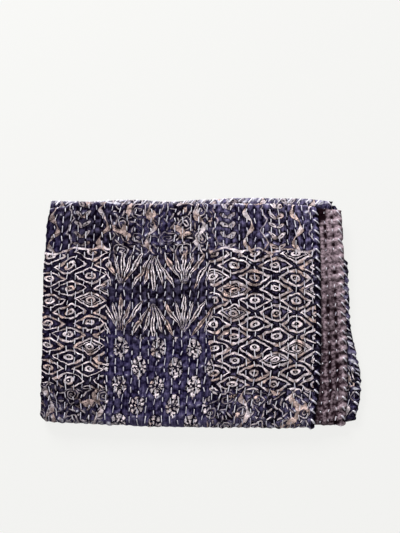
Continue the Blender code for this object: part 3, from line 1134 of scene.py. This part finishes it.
def scrollRecipe():
    # scattered small leaves, with a rolled tendril in some cells and rings in others
    blotchRough, blotchOver = scroll["blotch"]
    rows = staggered("t", scroll["leafCell"], scroll["leafCentre"]) + [("tspin", "*", "tid", math.pi)]
    rows += turnedRows("t", "tspin") + ellipseRows("tick", "ttx", "tty", scroll["leaf"])
    rows += staggered("c", scroll["cell"], scroll["centre"]) + ellipseRows("curl", "cx", "cy", scroll["curl"])
    return rows + [
        ("tickRough", "*+", "rough", scroll["leafRough"], "tick"),
        ("curlBent", "*+", "tangleGrain", scroll["bend"], "curl"),
        ("curlTurn", "*+", ("ARCTAN2", "cx", "cy"), 1 / (2 * math.pi), "cid"),
        ("curlRolled", "*", "curlTurn", ("<", "cid", scroll["rolledUnder"])),
        ("curlFraction", "FRACT", ("*+", "curlBent", scroll["turns"], "curlRolled")),
        ("curlIn", "*", ("<", "curlBent", scroll["size"]), (">", "cid", scroll["emptyUnder"])),
        ("curlOut", "-", 1.0, "curlIn"),
        ("curlInk", "*", ("near", "curlFraction", *scroll["line"]), "curlIn"),
        ("tickInk", "*", ("<", "tickRough", 1.0), "curlOut"),
        ("blotch", ">", ("*+", "fineGrain", blotchRough, "midGrain"), blotchOver),
        ("scrollInk", "max", ("max", "curlInk", "tickInk"), "blotch"),
        ("curlDark", "*", ("near", "curlFraction", *scroll["dark"]), "curlIn"),
        ("tickDark", "*", ("<", "tickRough", scroll["leafDark"]), "curlOut"),
        ("scrollDark", "max", "curlDark", "tickDark"),
    ]


def vineRecipe():
    # a knotted vine, a thin zigzag beside it and a column of paired leaves between two vines
    pitch, start, step = vine["pitch"], vine["start"], vine["step"]
    (wave, height), (arm, slope), (columnShare, columnHalf) = vine["swing"], vine["zigzag"], vine["column"]
    return [
        ("vineP", "*+", ("SINE", ("*", "q", 2 * math.pi / wave)), height, "p"),
    ] + nearestLine("vineX", "vineP", pitch, start) + [
        ("vineHalf", "*+", ("SINE", ("*", "q", 4 * math.pi / wave)), *vine["half"]),
        ("vineRough", "*+", "rough", vine["rough"], "vineX"),
        ("vineInk", "<", "vineRough", "vineHalf"),
        ("straightX", "*", ("FRACT", ("*+", "p", 1 / pitch, -start / pitch)), pitch),
        ("zigzagX", "*+", ("PINGPONG", "q", arm), slope, "straightX"),
        ("zigzagInk", "near", ("*+", "rough", vine["zigzagRough"], "zigzagX"), *vine["zigzagLine"]),
        ("ax", "-", ("abs", ("-", "straightX", columnShare * pitch)), columnHalf),
        ("ay", "-", ("FLOORED_MODULO", "q", step), step / 2),
    ] + turnedRows("a", vine["tilt"]) + ellipseRows("pairLeaf", "atx", "aty", vine["leaf"]) + [
        ("pairRough", "*+", "rough", vine["leafRough"], "pairLeaf"),
        ("beside", "max", ("near", "pairRough", *vine["leafLine"]), "zigzagInk"),
        ("vineAway", "-", "vineRough", "vineHalf"),
        ("vineDark", "max", ("<", "vineAway", vine["dark"]), ("<", "pairRough", vine["leafDark"])),
    ]


def zoneRecipe():
    # which motif lies where
    (repeatP, repeatQ), (latticeFrom, latticeLength) = printPlan["repeat"], printPlan["latticeSpan"]
    vineHalf, fanHalf = printPlan["vineLength"] / 2, printPlan["fanLength"] / 2
    (broad, fine), (wave, waveHeight), (linePast, lineHalf) = [
        printPlan[name] for name in ("columnStray", "edgeWave", "edgeLine")
    ]
    return [
        ("bordered", "+", "p", ("*+", "tangleGrain", fine, ("*+", "wideGrain", broad, -broad / 2))),
        ("columnP", "FLOORED_MODULO", ("-", "bordered", printPlan["latticeFrom"] + fine / 2), repeatP),
        ("inLatticeColumn", "<", "columnP", printPlan["latticeWidth"]),
        ("latticeQ", "FLOORED_MODULO", ("-", "q", latticeFrom), repeatQ),
        ("inLattice", "*", ("<", "latticeQ", latticeLength), "inLatticeColumn"),
        ("inVine", "*", ("near", "latticeQ", latticeLength + vineHalf, vineHalf), "inLatticeColumn"),
        ("middleQ", "FLOORED_MODULO", ("-", "q", printPlan["middleFrom"]), repeatQ),
        ("inMiddle", "-", 1.0, "inLatticeColumn"),
        ("inSprig", "*", ("<", "middleQ", printPlan["sprigLength"]), "inMiddle"),
        ("inFan", "*", ("near", "middleQ", printPlan["sprigLength"] + fanHalf, fanHalf), "inMiddle"),
        ("inScroll", "-", 1.0, ("+", ("+", "inLattice", "inVine"), ("+", "inSprig", "inFan"))),
        ("vineOn", "+", "inVine", "inScroll"),
        ("edgeQ", "*+", ("SINE", ("*", "p", 2 * math.pi / wave)), waveHeight, "latticeQ"),
        ("edgeLine", "*", ("near", "edgeQ", latticeLength + linePast, lineHalf), "inLatticeColumn"),
    ]


def inkRecipe():
    # how much ink is left, from where it was laid down, and its colour
    return [
        ("besideInk", "*", "beside", "inVine"),
        ("drawnInk", "max", ("*+", "scrollInk", "inScroll", "besideInk"), ("*", "vineInk", "vineOn")),
        ("thinned", "min", ("*+", "fromFold", *wear["thinned"]), 1.0),
        ("laid0", *zoned(
            ("latticeInk", "inLattice"), ("fanInk", "inFan"), ("sprigInk", "inSprig"),
            ("drawnInk", "thinned"),
        )),
        ("laid", "max", "laid0", "edgeLine"),
        ("rubbed", "held", ("*", ("-", "fineGrain", "rubbedFrom"), "rubbedGain"), "leastRubbed", 1.0),
        ("hems", "*", ("<", "p", printPlan["plainHems"][1]), (">", "p", printPlan["plainHems"][0])),
        ("patchy", "max", ("held", ("*+", "midGrain", *wear["patchy"]), "leastPatchy", 1.0), "blotch"),
        ("ink", "*", "laid", ("*", ("*", "rubbed", "hems"), "patchy")),
        ("greyZone", "max", ("-", ("-", "inScroll", "blotch"), "vineInk"), "besideInk"),
        ("greyShare", "*", "greyZone", ("held", ("*+", "wideGrain", *wear["grey"]), *wear["greySpan"])),
        ("peach0", "*+", "inSprig", "peachInSprig", ("*", ("-", "midGrain", "peachFrom"), "peachGain")),
        ("peachShare", "held", ("*+", "vineInk", "peachInVine", "peach0"), 0.0, "peachMost"),
        ("inkColour0", "mix", "peachShare", "cream", "peach"),
        ("inkColour", "mix", "greyShare", "inkColour0", "scrollGrey"),
    ]


def groundRecipe():
    # the dyed ground, faded along the rows, faded with a painted highlight on the crests, the crumples, the
    # folds and the ridge, with painted shade in the hollows, and darker close to the ink
    leastDark = look["edgeDark"] - wear["darkLessAtFold"]
    leastOutOfShade = look["hollow"] - wear["crumpleGain"] / 2
    return [
        ("deepGrain", "*", ("-", "wideGrain", "deepFrom"), "deepGain"),
        ("deepInLattice", "*+", ("*+", "fromFold", *wear["latticeDeep"]), "inLattice", "deepGrain"),
        ("deepInFan", "*+", "inFan", "fanDeep", "deepInLattice"),
        ("deep", "held", ("*+", "inSprig", "sprigDeep", "deepInFan"), 0.0, 1.0),
        # painted highlight on the crumples' highs, which the bump also raises
        ("fadedCrumple", "*+", "crumple", *wear["fadedCrumple"]),
        ("streak", "grain", ("pair", ("*", "u", "streakThin"), "v"), 1000 / look["streakLength"], 2.0),
        ("fadedStreak", "max", ("*+", "streak", *wear["fadedStreak"]), 0.0),
        ("faded", "+", ("*+", ("min", "worn", "crestMost"), "crestGain", "fadedCrumple"), "fadedStreak"),
        ("towardHem", "*+", "fromFold", *wear["towardHem"]),
        ("fadeBy", "*+", "inSprig", "fadeInSprig", ("*+", ("*", "inVine", "u"), "fadeInVine", "towardHem")),
        # the fade mixes towards the pale navy, which stands for wear and a painted highlight
        ("fade", "max", ("*", "faded", "fadeBy"), 0.0),
        ("bleachGrain", "max", ("*+", "strayGrain", *wear["bleachGrain"]), "leastBleach"),
        # painted highlight along the far fold and the ridge, with some wear
        ("bleach", "*", ("max", ("*+", "worn", *wear["bleach"]), 0.0), "bleachGrain"),
        ("ground0", "mix", "deep", "navyDeep", "navy"),
        ("ground1", "mix", "fade", "ground0", "navyFaded"),
        ("ground2", "mix", "bleach", "ground1", "navyBleached"),
        ("darkZones", *zoned(
            ("latticeDark", "inLattice"), ("fanDark", "inFan"), ("sprigDark", "inSprig"),
            ("scrollDark", "inScroll"), ("vineDark", "vineOn"),
        )),
        ("darkBy", "min", ("+", "fromFold", leastDark), "edgeDark"),
        ("ground", "mix", ("*", ("min", "darkZones", 1.0), "darkBy"), "ground2", "navyDeep"),
        ("printed", "mix", "ink", "ground", "inkColour"),
        # painted shade in the troughs and the crumples' lows
        ("hollow0", "*+", "worn", "hollowGain", ("*+", "crumple", "crumpleGain", leastOutOfShade)),
        ("hollowShare", "min", ("max", "hollow0", ("*", "ink", "inkStands")), 1.0),
        ("colour", "mix", "hollowShare", "navyDeep", "printed"),
    ]


def plainRecipe():
    # the dye, paler on the crests, where wear and a painted highlight lie, and towards the far fold; darker
    # in random patches and fine slubs, with painted shade in the troughs and the crumples' lows
    fadeFrom, fadeTo = look["mauvePaleSpan"]
    return [
        # painted highlight, with wear, on the crests and the crumples' highs
        ("crest", "max", ("+", "worn", ("*+", "crumple", *wear["plainCrestHighlight"])), 0.0),
        # painted shade in the crumples' lows, and random fine slubs
        ("slub0", "min", ("*+", "crumple", *wear["slub"]), ("*+", "fineGrain", *wear["fineSlub"])),
        ("slubShare", "held", "slub0", "leastSlub", 1.0),
        ("pale", "held", ("/", ("-", "v", fadeFrom), fadeTo - fadeFrom), 0.0, 1.0),
        ("patch", "*+", "midGrain", "patchGain", look["mauveLeftInTroughShade"] - wear["patchGain"] / 2),
        # painted shade in the troughs, and random dark patches
        ("hollowShare", "min", ("*+", "worn", "plainHollow", "patch"), 1.0),
        ("dyed0", "mix", "pale", "mauve", "mauvePale"),
        ("dyed1", "mix", "slubShare", "mauveDeep", "dyed0"),
        ("dyed2", "mix", "crest", "dyed1", "mauveWorn"),
        ("colour", "mix", "hollowShare", "mauveDeep", "dyed2"),
    ]


def surfaceRecipe():
    # plain weave over soft crumples between the stitches
    turn = 2 * math.pi * 1000 / look["weavePitch"]
    return [
        ("weave", "*", ("SINE", ("*", "u", turn)), ("SINE", ("*", "v", turn))),
        ("crumpled", "bump", 1.0, "crumpleDepth", "crumple"),
        ("normal", "bumpOver", 0.6, "weaveDepth", "weave", "crumpled"),
    ]


# How wear, washing, uneven dye, a painted highlight on the crests and folds and painted shade in the troughs
# change the print and the ground. A pair is what a grain, a crest or the distance from the side fold is
# multiplied by, and what is added.
wear = {
    "thinned": (1.55, 0.42),       # ink laid on more thinly towards the side fold
    "rubbedFrom": 0.31,
    "rubbedGain": 7.0,
    "leastRubbed": 0.10,
    "patchy": (-3.8, 2.80),
    "leastPatchy": 0.25,
    "grey": (3.2, -1.25),
    "greySpan": (0.15, 0.92),
    "peachFrom": 0.50,
    "peachGain": 7.0,
    "peachInSprig": -0.8,
    "peachInVine": 0.6,
    "peachMost": 0.9,
    "deepFrom": 0.40,
    "deepGain": 3.2,
    "latticeDeep": (-1.6, -0.05),
    "fanDeep": -0.25,
    "sprigDeep": 0.55,
    "crestGain": 0.62,
    "crestMost": 0.65,
    "fadedCrumple": (0.9, -0.49),
    "fadedStreak": (2.3, -1.08),
    "towardHem": (1.60, 0.34),
    "fadeInVine": 0.9,
    "fadeInSprig": 0.18,
    "bleach": (3.2, -2.15),
    "bleachGrain": (7.0, -2.85),
    "leastBleach": 0.1,
    "darkLessAtFold": 0.28,
    "hollowGain": 2.2,
    "crumpleGain": 2.4,
    "plainCrestHighlight": (2.6, -1.25),
    "slub": (4.6, -1.40),
    "fineSlub": (3.6, -0.72),
    "leastSlub": 0.15,
    "patchGain": 2.2,
    "plainHollow": 1.7,
}

# sizes in millimetres, depths in metres
look = {
    # the darkest dye, also the colour of the painted shade in the hollows
    "navyDeep": "#05010b",
    "navy": "#1d183b",
    # faded navy, also the colour of the painted highlight on the crests
    "navyFaded": "#7b7399",
    # pale navy of the painted highlight on the far fold and the ridge, with some wear
    "navyBleached": "#cdcad8",
    "cream": "#fff0f6",
    "peach": "#f0d0c6",
    "scrollGrey": "#7d7488",
    "edgeDark": 0.92,       # how much darker the dye is close to an ink line
    "streakLength": 14.0,   # pale streaks along the rows
    "streakThin": 6.0,      # how many times longer than wide
    "stray": 1.5,           # how far the blocks' edges wander
    "bend": 2.4,            # how far the cloth has stretched out of true since
    "straySize": 14.0,
    "grains": {             # size of each grain and its detail
        "fineGrain": (1.6, 2.0),
        "tangleGrain": (13.0, 1.0),
        "strayGrain": (9.0, 1.0),
        "midGrain": (22.0, 1.5),
        "wideGrain": (77.0, 2.0),
        "crumple": (4.6, 3.0),
    },
    "roughEdges": (0.16, -0.08),  # how ragged a printed line is
    "hollow": 0.44,         # colour left in the troughs under the painted shade
    "inkStands": 0.72,      # and how much of the ink is kept clear of the painted shade, at the least
    "mauveLeftInTroughShade": 0.74,
    "roughness": 0.9,
    "specular": 0.015,      # cotton scatters nearly all of its light
    "weavePitch": 1.1,      # the real threads are finer, and are drawn coarse so that they show
    "weaveDepth": 0.00012,
    "crumpleDepth": 0.0042,
    "mauve": "#4d3b44",
    # the darkest dye, also the colour of the painted shade in the hollows and the crumples' lows
    "mauveDeep": "#180b11",
    "mauvePale": "#9b8690",
    # worn mauve, also the colour of the painted highlight on the crests
    "mauveWorn": "#bea9b3",
    "mauvePaleSpan": (-0.09, 0.14),  # along the cloth, where it turns paler towards the far fold
    "thread": "#fbf8ff",
    "threadShade": "#e6e1ee",
    "threadGrey": "#918bab",
    "twistSize": 2.0,
}


def clothMaterial(name, rows):
    material, shader = newMaterial(
        name, {"Roughness": look["roughness"], "Specular IOR Level": look["specular"]}
    )
    wires = followRecipe(material.node_tree, rows)
    material.node_tree.links.new(wires["colour"], shader.inputs["Base Color"])
    material.node_tree.links.new(wires["normal"], shader.inputs["Normal"])
    return material


# matt cloth, pale ink on a deep ground, chalky where the crests have faded and carry a painted highlight,
# with painted shade in the troughs
blockPrinted = clothMaterial(
    "block-printed cotton",
    clothRecipe() + latticeRecipe() + fanRecipe() + sprigRecipe() + scrollRecipe() + vineRecipe()
    + zoneRecipe() + inkRecipe() + groundRecipe() + surfaceRecipe(),
)
# the same cloth dyed one colour and washed thin: its slubs and crests are paler than its hollows, which is
# partly a painted highlight on the crests and painted shade in the hollows
pieceDyed = clothMaterial("piece-dyed cotton", clothRecipe() + plainRecipe() + surfaceRecipe())
# soft white thread with a little shade in its twist and from one stitch to the next
twistedThread = clothMaterial("twisted cotton thread", [
    ("place", "objectPlace"),
    ("twist", "grain", "place", 1000 / look["twistSize"], 1.0),
    ("tone", "pieceValue", "tone"),
    ("clean", "mix", "twist", "thread", "threadShade"),
    ("colour", "mix", "tone", "clean", "threadGrey"),
    ("normal", "bump", 0.5, 0.0002, "twist"),
])

faceCloth.data.materials.append(blockPrinted)
backCloth.data.materials.append(pieceDyed)
for piece in threads:
    piece.data.materials.append(twistedThread)
print("materials made")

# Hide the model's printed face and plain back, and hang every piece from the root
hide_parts("printed_face")
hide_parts("plain_back")
for piece in [faceCloth, backCloth] + threads:
    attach(piece, "root")

# A pale room with one large soft light behind and a weak one in front
room = {
    "floorSize": 3.0,           # from its middle to its side
    "floor": "#4a4a49",
    "glow": "#f4f4f2",
    "floorGlow": 0.917,
    "sky": 0.24,
    "lightTarget": (0, 0.05, 0),
    "mainLight": (-0.85, 1.85, 1.30),
    "mainSize": 0.9,
    "mainPower": 86.0,
    "fillLight": (0.5, -1.2, 2.2),
    "fillSize": 1.8,
    "fillPower": 5.0,
}


def makeFloor():
    shape = bmesh.new()
    bmesh.ops.create_grid(shape, x_segments=1, y_segments=1, size=room["floorSize"])
    floor = finishPiece("floor", shape)
    # wide matt paper, lit evenly enough to look white and only a little darker under the hems
    paper, _ = newMaterial("matt paper", {
        "Base Color": linearColour(room["floor"]), "Roughness": 1.0, "Specular IOR Level": 0.0,
        "Emission Color": linearColour(room["glow"]), "Emission Strength": room["floorGlow"],
    })
    floor.data.materials.append(paper)


def placeFacing(data, place, target):
    thing = bpy.data.objects.new(data.name, data)
    thing.location = place
    thing.rotation_euler = (Vector(target) - Vector(place)).to_track_quat("-Z", "Y").to_euler()
    bpy.context.scene.collection.objects.link(thing)
    return thing


def addSoftbox(name, place, size, power):
    light = bpy.data.lights.new(name, "AREA")
    light.size = size
    light.energy = power
    placeFacing(light, place, room["lightTarget"])


makeFloor()
addSoftbox("main softbox", room["mainLight"], room["mainSize"], room["mainPower"])
addSoftbox("fill softbox", room["fillLight"], room["fillSize"], room["fillPower"])
world = bpy.data.worlds.new("white room")
world.use_nodes = True
background = world.node_tree.nodes["Background"].inputs
background["Strength"].default_value = room["sky"]
background["Color"].default_value = (1, 1, 1, 1)
bpy.context.scene.world = world
bpy.context.scene.view_settings.view_transform = "Standard"

camera = {
    "lens": 44.9,
    "sensor": 36.0,
    "target": (-0.0016, 0.0665, 0.020),
    "distance": 1.0,
    "elevation": 86.0,
}


def makeCamera():
    data = bpy.data.cameras.new("camera")
    data.lens = camera["lens"]
    data.sensor_width = camera["sensor"]
    data.clip_start = 0.01
    angle = math.radians(camera["elevation"])
    target = Vector(camera["target"])
    place = target + camera["distance"] * Vector((0, -math.cos(angle), math.sin(angle)))
    bpy.context.scene.camera = placeFacing(data, place, target)


makeCamera()
print("room, lights and camera made")
